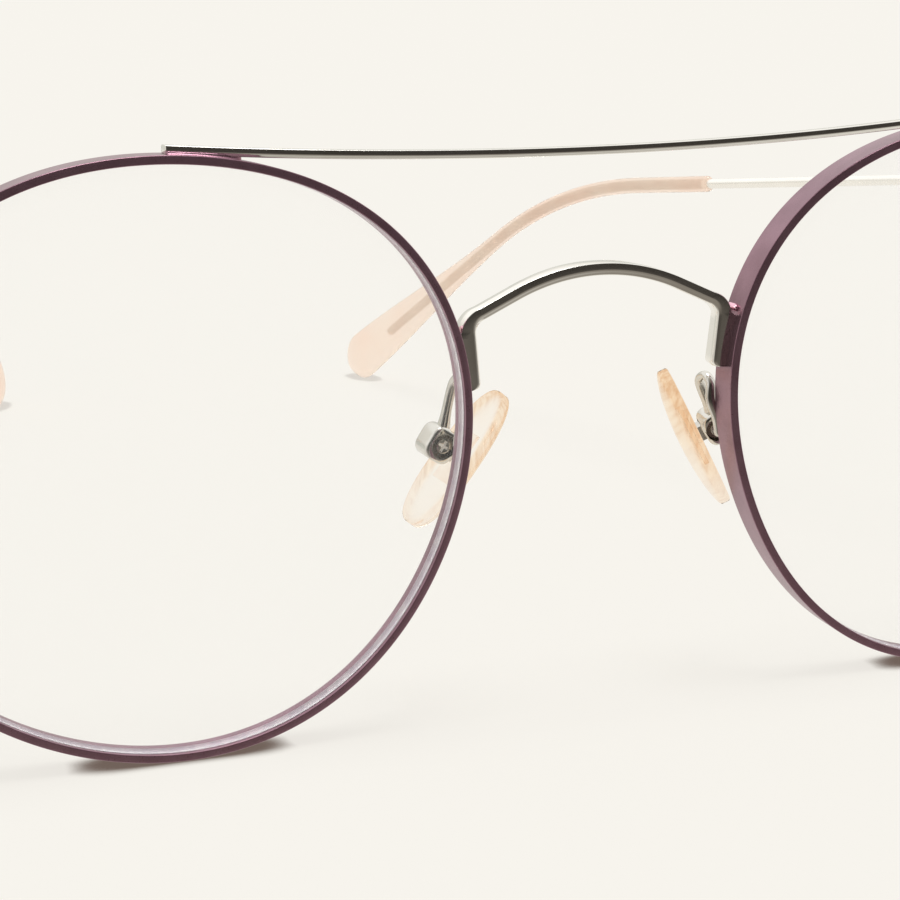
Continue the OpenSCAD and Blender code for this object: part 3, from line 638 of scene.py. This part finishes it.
# Each side's arm has its own foot on the rim and its own crest
arm_y = rim_back + WIRE_T / 2 - WIRE_SINK
for label, side in SIDES:
    seat = 0.1 + 0.3 * side
    rear = arm_y - 0.06 + 0.06 * side
    foot = -2.3 - 0.5 * side
    crest_x, crest_z = pivot(side)[0] - 1.6 - 0.2 * side, 3.15 - 0.75 * side
    route = np.array([[rim_nose_x(foot) + seat, rear, foot],
                      [rim_nose_x(foot + 1.6) + seat - 0.05, rear, foot + 1.6],
                      [rim_nose_x(foot + 3.2) + seat - 0.5, rear + 0.1, foot + 3.2],
                      [crest_x + 0.1, arm_y + 0.4, crest_z - 0.6],
                      [crest_x, arm_y + 1.25, crest_z],
                      [crest_x + 0.15, pivot(side)[1] - 0.2, crest_z - 0.9],
                      box_point(side, [0.3, 0, BOX_L / 2 - 0.15])])
    n = len(route) - 1
    rings = []
    steps = 12 * n
    for k in range(steps + 1):
        u = n * k / steps
        t = along(route, min(u + 0.02, n)) - along(route, max(u - 0.02, 0))
        t /= np.linalg.norm(t)
        e = np.array([1.0, 0, 0]) - t[0] * t
        e /= np.linalg.norm(e)
        f = np.cross(t, e)
        w = np.radians(np.arange(0, 360, 15))
        nose = min(1, math.sqrt(max(0.02, 1 - (1 - min(k / 4, 1)) ** 2)))
        size = nose * (1 + WIRE_SWELL * float(smooth(0.92, 1, k / steps)))
        slim = 1 - WIRE_SLIM * float(smooth(0.3, 0.6, k / steps))
        across = slim * WIRE_W / 2 * np.cos(w)[:, None] * e + WIRE_T / 2 * np.sin(w)[:, None] * f
        rings.append(world(along(route, u) + size * across, side))
    build(label + "_arm_wire", rings, arm_chrome, "front", [label + "_pad_arm"])

# Temples and their tips
bend = math.radians(BEND)
bend_len = BEND_R * bend
paddle_r = PADDLE_H / 2
arm_in = KNUCKLE + 0.1
core_end = TEMPLE - CORE_GAP


def dip(s):
    return bend * min(max((s - STRAIGHT) / bend_len, 0), 1)


def line_point(s):
    """The temple's middle line, back and up from the hinge, before it is tilted."""
    d, over = dip(s), max(s - STRAIGHT - bend_len, 0)
    back = min(s, STRAIGHT) + BEND_R * math.sin(d) + over * math.cos(d)
    return back, -BEND_R * (1 - math.cos(d)) - over * math.sin(d)


tip_y, tip_z = line_point(TEMPLE - paddle_r)
tilt = math.asin((HINGE_Z + OFF_Z - paddle_r) / math.hypot(tip_y, tip_z)) - math.atan2(-tip_z, tip_y)


def temple_point(s, u, v):
    """A point s along the temple, u to its outside and v above its middle line."""
    q, g = line_point(s), tilt + dip(s)
    y = q[0] * math.cos(tilt) + q[1] * math.sin(tilt) + v * math.sin(g)
    z = -q[0] * math.sin(tilt) + q[1] * math.cos(tilt) + v * math.cos(g)
    x = arm_in + ARM_T / 2 + u
    c, k = math.cos(math.radians(TURN)), math.sin(math.radians(TURN))
    return np.stack([HINGE_X + x * c - y * k, HINGE_Y + x * k + y * c, HINGE_Z + z], -1)


def oval(a, b, power, sides):
    w = circle_angles(sides) + math.pi / sides
    k = 1 / (np.abs(np.cos(w)) ** power + np.abs(np.sin(w)) ** power) ** (1 / power)
    return a * k * np.cos(w), b * k * np.sin(w)


def arm_ring(s):
    """The metal: a flat bar at the hinge that becomes a round wire with a blunt end."""
    k = float(smooth(ARM_START, ARM_FLAT, s))
    a, b = ARM_T / 2 + (CORE_D / 2 - ARM_T / 2) * k, END_H / 2 + (CORE_D / 2 - END_H / 2) * k
    trim = ARM_EDGE * (1 - min((s - ARM_START) / 0.15, 1))
    point = math.sqrt(max(0.001, 1 - max(0, (s - core_end + CORE_NOSE) / CORE_NOSE) ** 2))
    return oval((a - trim) * point, (b - trim) * point, 7 - 5 * k, 32)


def sleeve_ring(s):
    """The plastic: a slim sleeve that widens to a paddle with a round end."""
    u = (s - SLEEVE) / (TEMPLE - SLEEVE)
    end = math.sqrt(max(1 - max((s - TEMPLE + paddle_r) / paddle_r, 0) ** 2, 0.0001))
    lip = SLEEVE_EDGE * (1 - math.sqrt(1 - (1 - min((s - SLEEVE) / 0.2, 1)) ** 2))
    b = end * (NECK / 2 + (paddle_r - NECK / 2) * float(smooth(TEMPLE - TAPER, TEMPLE, s))) - lip
    a = math.sqrt(end) * (NECK / 2 + (PADDLE_T - NECK) / 2 * float(smooth(0.4, 0.95, u))) - lip
    return oval(a, b, 2, 48)


arm_stations = np.concatenate([
    [ARM_START, 0.29, 0.4], np.linspace(0.8, ARM_FLAT, 40), np.linspace(42, core_end - CORE_NOSE, 80),
    core_end - CORE_NOSE + CORE_NOSE * np.sin(np.radians([20, 40, 60, 80, 88]))])
paddle_turns = np.radians([8, 16, 24, 32, 40, 48, 55, 62, 68, 74, 79, 83, 86.5])
sleeve_stations = np.concatenate([
    [SLEEVE, SLEEVE + 0.02, SLEEVE + 0.08, SLEEVE + 0.2], np.linspace(SLEEVE + 0.8, TEMPLE - paddle_r, 110),
    TEMPLE - paddle_r * (1 - np.sin(paddle_turns))])
# The wire inside the sleeve takes the darker copy: painted shade
inside = (shaded_core, int(np.searchsorted(arm_stations, SLEEVE + 0.3)), len(arm_stations) - 1)
for label, side in SIDES:
    temple = label + "_temple"
    rings = [world(temple_point(s, *arm_ring(s)), side) for s in arm_stations]
    build(temple + "_wire", rings, arm_metal, temple, [temple], band=inside)
    rings = [world(temple_point(s, *sleeve_ring(s)), side) for s in sleeve_stations]
    build(label + "_tip_sleeve", rings, tip_plastic, temple, [temple + "_tip"])


# Pad boxes: a cast cup with full, round edges, a slot for the pad and a recess for the screw
def box_ring(outline, y):
    return np.stack([outline[:, 0], np.full(len(outline), y), outline[:, 1]], -1)


def prism(outline, from_y, to_y):
    """A closed solid between two planes across the box's second axis."""
    return [box_ring(outline, from_y), box_ring(outline, to_y)]


def circle(r):
    a = circle_angles(64)
    return np.stack([r * np.cos(a), r * np.sin(a)], -1)


def cup_rings():
    """The cup's outside, whose ends are rounded over in both ways."""
    half_w, half_l = (BOX_IN + BOX_OUT) / 2, BOX_L / 2 + BOX_FULL
    square = np.array([[half_w, half_l], [-half_w, half_l], [-half_w, -half_l], [half_w, -half_l]])
    rings = []
    for end in (-1, 1):
        for a in np.radians([0, 18, 36, 54, 72, 90])[::end]:
            inset = BOX_EDGE * (1 - math.cos(a))
            outline = rounded(square * (1 - inset / np.array([half_w, half_l])), BOX_CORNER * 1.3 - inset, 10)
            outline[:, 0] += BOX_OUT - half_w
            rings.append(box_ring(outline, end * (BOX_DEEP / 2 - BOX_EDGE * (1 - math.sin(a)))))
    return rings


def cut_away(ob, cutters):
    for cutter in cutters:
        cut = ob.modifiers.new("cut", "BOOLEAN")
        cut.operation = "DIFFERENCE"
        cut.solver = "EXACT"
        cut.object = cutter
    result = bpy.data.meshes.new_from_object(ob.evaluated_get(bpy.context.evaluated_depsgraph_get()))
    ob.modifiers.clear()
    ob.data = result
    for cutter in cutters:
        bpy.data.objects.remove(cutter)


far_x = -BOX_IN - 1
pad_slot = np.array([[far_x, -SLOT_Z], [SLOT_X, -SLOT_Z], [SLOT_X, SLOT_Z], [far_x, SLOT_Z]])
cup_shapes = [cup_rings(), prism(pad_slot, -SLOT_Y, SLOT_Y),
              prism(circle(RECESS_R), -BOX_DEEP, -BOX_DEEP / 2 + RECESS_DEPTH),
              prism(circle(BORE_R), -BOX_DEEP, BOX_DEEP)]
for label, side in SIDES:
    parts = []
    for n, shape in enumerate(cup_shapes):
        placed = [world(box_point(side, r), side) * 1000 for r in shape]
        parts.append(solid(label + "_cup_" + str(n), placed))
    cup = parts[0]
    cut_away(cup, parts[1:])
    cup.name = label + "_pad_cup"
    cup.data.transform(Matrix.Scale(0.001, 4))
    cup.data.materials.append(arm_chrome)
    cup.data.materials.append(recess_shade)
    ends = [Vector(world(box_point(side, [0, y, 0]), side)) for y in (-BOX_DEEP / 2, BOX_DEEP / 2)]
    # The faces in the screw's recess take the darker chrome: painted shade
    for face in cup.data.polygons:
        deep, off = off_axis(face.center, *ends)
        face.material_index = int(off < RECESS_R + 0.02 and deep > 0.02)
    bevel(cup, "edge", 0.04, 2, 40)
    settle(cup, "front", [label + "_pad_box"])

# Solder that has run out between the bridge's corners and the rims. Its pale pink is a painted glint
for label, side in SIDES:
    rings = []
    for t in np.linspace(-0.97, 0.97, 21):
        a = circle_angles(28)
        r = BEAD_R * math.sqrt(1 - t * t) * (1 + 0.06 * np.sin(3 * a + 4 * t))
        y = strap_y + BEAD_LONG * (1 + t)
        x = rim_nose_x(8.8) - 0.14 + r * np.cos(a)
        rings.append(world(np.stack([x, np.full(len(a), y), BEAD_Z + r * np.sin(a)], -1), side))
    build(label + "_solder", rings, solder_glint, "front", None)

# Solder under the bar's ends: a fillet that lies on the rim and rises to the bar's front. Its lighter mauve
# is painted highlight
for label, side in SIDES:
    rings = []
    for f in np.arange(41) / 40:
        x = BAR_HALF - 0.1 - FILLET_LONG * f
        front, low = bar_edge(x)
        on = at_rim(ring_point(math.acos((CENTRES / 2 - x) / rim_r(math.pi / 2)), 0.05, 0.6))[2]
        draw, thin = 0.5 * f ** 8, 1 - f ** 5
        reach, rise = 0.3 * thin + 0.02, low + 0.06 + 0.2 * thin
        ring = []
        for w in np.radians([0, 18, 36, 54, 72, 90]):
            ring.append([front - reach * (1 - math.sin(w)) + draw, on + (rise - on) * (1 - math.cos(w))])
        ring += [[front + 0.5, rise], [front + 1.35 - draw, low + 0.05], [front + 1.35 - draw, on - 0.04],
                 [front - reach + draw, on - 0.04]]
        ring = np.array(ring)
        rings.append(world(np.stack([np.full(len(ring), x), ring[:, 0], ring[:, 1]], -1), side))
    build(label + "_bar_solder_highlight", rings, bar_solder_highlight, "front", None)

# Small parts keep their solids' form, with broken edges of these widths
SMALL_PARTS = (("upper_block", wire, "wire", 0.12), ("lower_block", wire, "wire", 0.12),
               ("endpiece", wire, "wire", 0.14), ("rim_screw", steel, "polished", 0.06),
               ("front_hinge", polished, "polished", 0.06), ("temple_hinge", polished, "polished", 0.06),
               ("hinge_screw", steel, "polished", 0.05))
for label, side in SIDES:
    for node, material, slot, width in SMALL_PARTS:
        body = label + "_temple" if node == "temple_hinge" else "front"
        dress(label + "_" + node, material, body, width)

    # The cross in the screw's head takes a pale, rough metal: a painted glint
    screw = dress(label + "_pad_screw", steel, "front", 0.04)
    screw.data.materials.append(glint)
    ends = [Vector(world(box_point(side, [0, y, 0]), side)) for y in (-1.2, 1.2)]
    for face in screw.data.polygons:
        deep, off = off_axis(face.center, *ends)
        face.material_index = int(off < CROSS_R and CROSS_FROM < deep < CROSS_TO)

    # The insert's plate, which lies inside the pad, is clear. Its eye is metal
    insert = dress(label + "_pad_insert", steel, label + "_pad", 0.05)
    insert.data.materials.append(plate_plastic)
    root, tip = [Vector(world(pad_point(side, [x, 0, 0]), side)) for x in (pad_back + 0.02, pad_front)]
    bm = bmesh.new()
    bm.from_mesh(insert.data)
    bmesh.ops.remove_doubles(bm, verts=bm.verts, dist=0.000002)
    everything = bm.verts[:] + bm.edges[:] + bm.faces[:]
    bmesh.ops.bisect_plane(bm, geom=everything, plane_co=root, plane_no=tip - root)
    for face in bm.faces:
        face.material_index = int((face.calc_center_median() - root).dot(tip - root) > 0)
    bm.to_mesh(insert.data)
    bm.free()
    insert.modifiers["flat"].delimit = {"MATERIAL"}

# Floor: the paper's colour, with a warm shadow painted in from ambient occlusion where the frame stands on
# it. The painted shadow fades towards the back, where the clear tips stand
SHEET = linear(247, 244, 237)
floor_mat, tree = new_tree("studio_floor")
near = add(tree, "AmbientOcclusion", {"Distance": 0.0018}, samples=12).outputs["AO"]
contact = add(tree, "MapRange", {"Value": near, "From Min": 0.45, "From Max": 0.88}).outputs["Result"]
floor_at = add(tree, "TexCoord", {}).outputs["Object"]
floor_y = add(tree, "SeparateXYZ", {"Vector": floor_at}).outputs["Y"]
fading = {"Value": floor_y, "From Min": 0.01, "From Max": 0.05, "To Max": 0.7}
faint = add(tree, "MapRange", fading).outputs["Result"]
painted_shadow_tone = mixed(tree, calc(tree, "MAXIMUM", contact, faint), linear(122, 107, 98), SHEET)
paper = tree.nodes["Principled BSDF"]
feed(tree, paper, {"Base Color": painted_shadow_tone, "Roughness": 1.0, "Specular IOR Level": 0.0})
glow = add(tree, "Emission", {"Color": painted_shadow_tone})
seen = add(tree, "LightPath", {}).outputs["Is Camera Ray"]
share = calc(tree, "MULTIPLY", seen, 0.8)
both = add(tree, "MixShader", {"Fac": share, 1: paper.outputs["BSDF"], 2: glow.outputs["Emission"]})
feed(tree, tree.nodes["Material Output"], {"Surface": both.outputs["Shader"]})
me = bpy.data.meshes.new("studio_floor")
me.from_pydata([(-6, -6, 0), (6, -6, 0), (6, 6, 0), (-6, 6, 0)], [], [(0, 1, 2, 3)])
me.materials.append(floor_mat)
floor = link("studio_floor", me)
floor.visible_glossy = False
floor.visible_transmission = False

# World: metal mirrors a dark room in front, a pale floor, a bright sky and a grey line where the
# backdrop rises. The camera sees the plain backdrop, and matt surfaces a dimmer one
studio = bpy.data.worlds.new("studio")
bpy.context.scene.world = studio
studio.use_nodes = True
tree = studio.node_tree
way = add(tree, "TexCoord", {}).outputs["Generated"]
apart = add(tree, "SeparateXYZ", {"Vector": way})
path = add(tree, "LightPath", {})
room = step(tree, calc(tree, "MULTIPLY", apart.outputs["Y"], -1.0), 0.12, 0.75)
line = calc(tree, "ABSOLUTE", calc(tree, "SUBTRACT", apart.outputs["Z"], 0.02), 0.0)
line = calc(tree, "SUBTRACT", 1.0, step(tree, line, 0.08, 0.20))
line = calc(tree, "MULTIPLY", line, step(tree, apart.outputs["Y"], 0.2, 0.6))
downward = step(tree, calc(tree, "MULTIPLY", apart.outputs["Z"], -1.0), 0.0, 0.5)
bright = mixed(tree, step(tree, apart.outputs["Z"], 0.2, 0.42), SHEET, (1.15, 1.14, 1.12, 1))
dark = mixed(tree, downward, (0.045, 0.040, 0.035, 1), (0.25, 0.225, 0.195, 1))
pale = mixed(tree, line, bright, (0.70, 0.70, 0.65, 1))
not_through_plastic = calc(tree, "LESS_THAN", path.outputs["Transmission Depth"], 0.5)
mirror = calc(tree, "MULTIPLY", path.outputs["Is Glossy Ray"], not_through_plastic)
shown = mixed(tree, mirror, SHEET, mixed(tree, room, pale, dark))
lit = mixed(tree, path.outputs["Is Diffuse Ray"], shown, (0.62, 0.62, 0.62, 1))
feed(tree, tree.nodes["Background"], {"Color": lit})

# Light
sun = bpy.data.lights.new("overhead", "SUN")
sun.energy = 1.2
sun.angle = math.radians(28)
lamp = link("overhead", sun)
lamp.rotation_euler = (math.radians(4), math.radians(3), 0)

# Camera, as fitted to the photograph: its place, and its yaw, pitch and roll
CAMERA_AT = (-82.652, -181.791, 45.864)
CAMERA_TURN = (20.5989, 13.4187, 0.2223)
yaw, pitch, roll = (math.radians(angle) for angle in CAMERA_TURN)
cam = bpy.data.cameras.new("camera")
cam.lens = 100
cam.sensor_width = 36
cam.clip_start = 0.01
eye = link("camera", cam)
forward = Vector((math.sin(yaw) * math.cos(pitch), math.cos(yaw) * math.cos(pitch), -math.sin(pitch)))
level = Vector((math.cos(yaw), -math.sin(yaw), 0))
plumb = forward.cross(level)
right = level * math.cos(roll) + plumb * math.sin(roll)
down = plumb * math.cos(roll) - level * math.sin(roll)
turn = Matrix((right, -down, -forward)).transposed().to_4x4()
eye.matrix_world = Matrix.Translation(Vector(world(CAMERA_AT))) @ turn
bpy.context.scene.camera = eye
bpy.context.scene.view_settings.view_transform = "Standard"
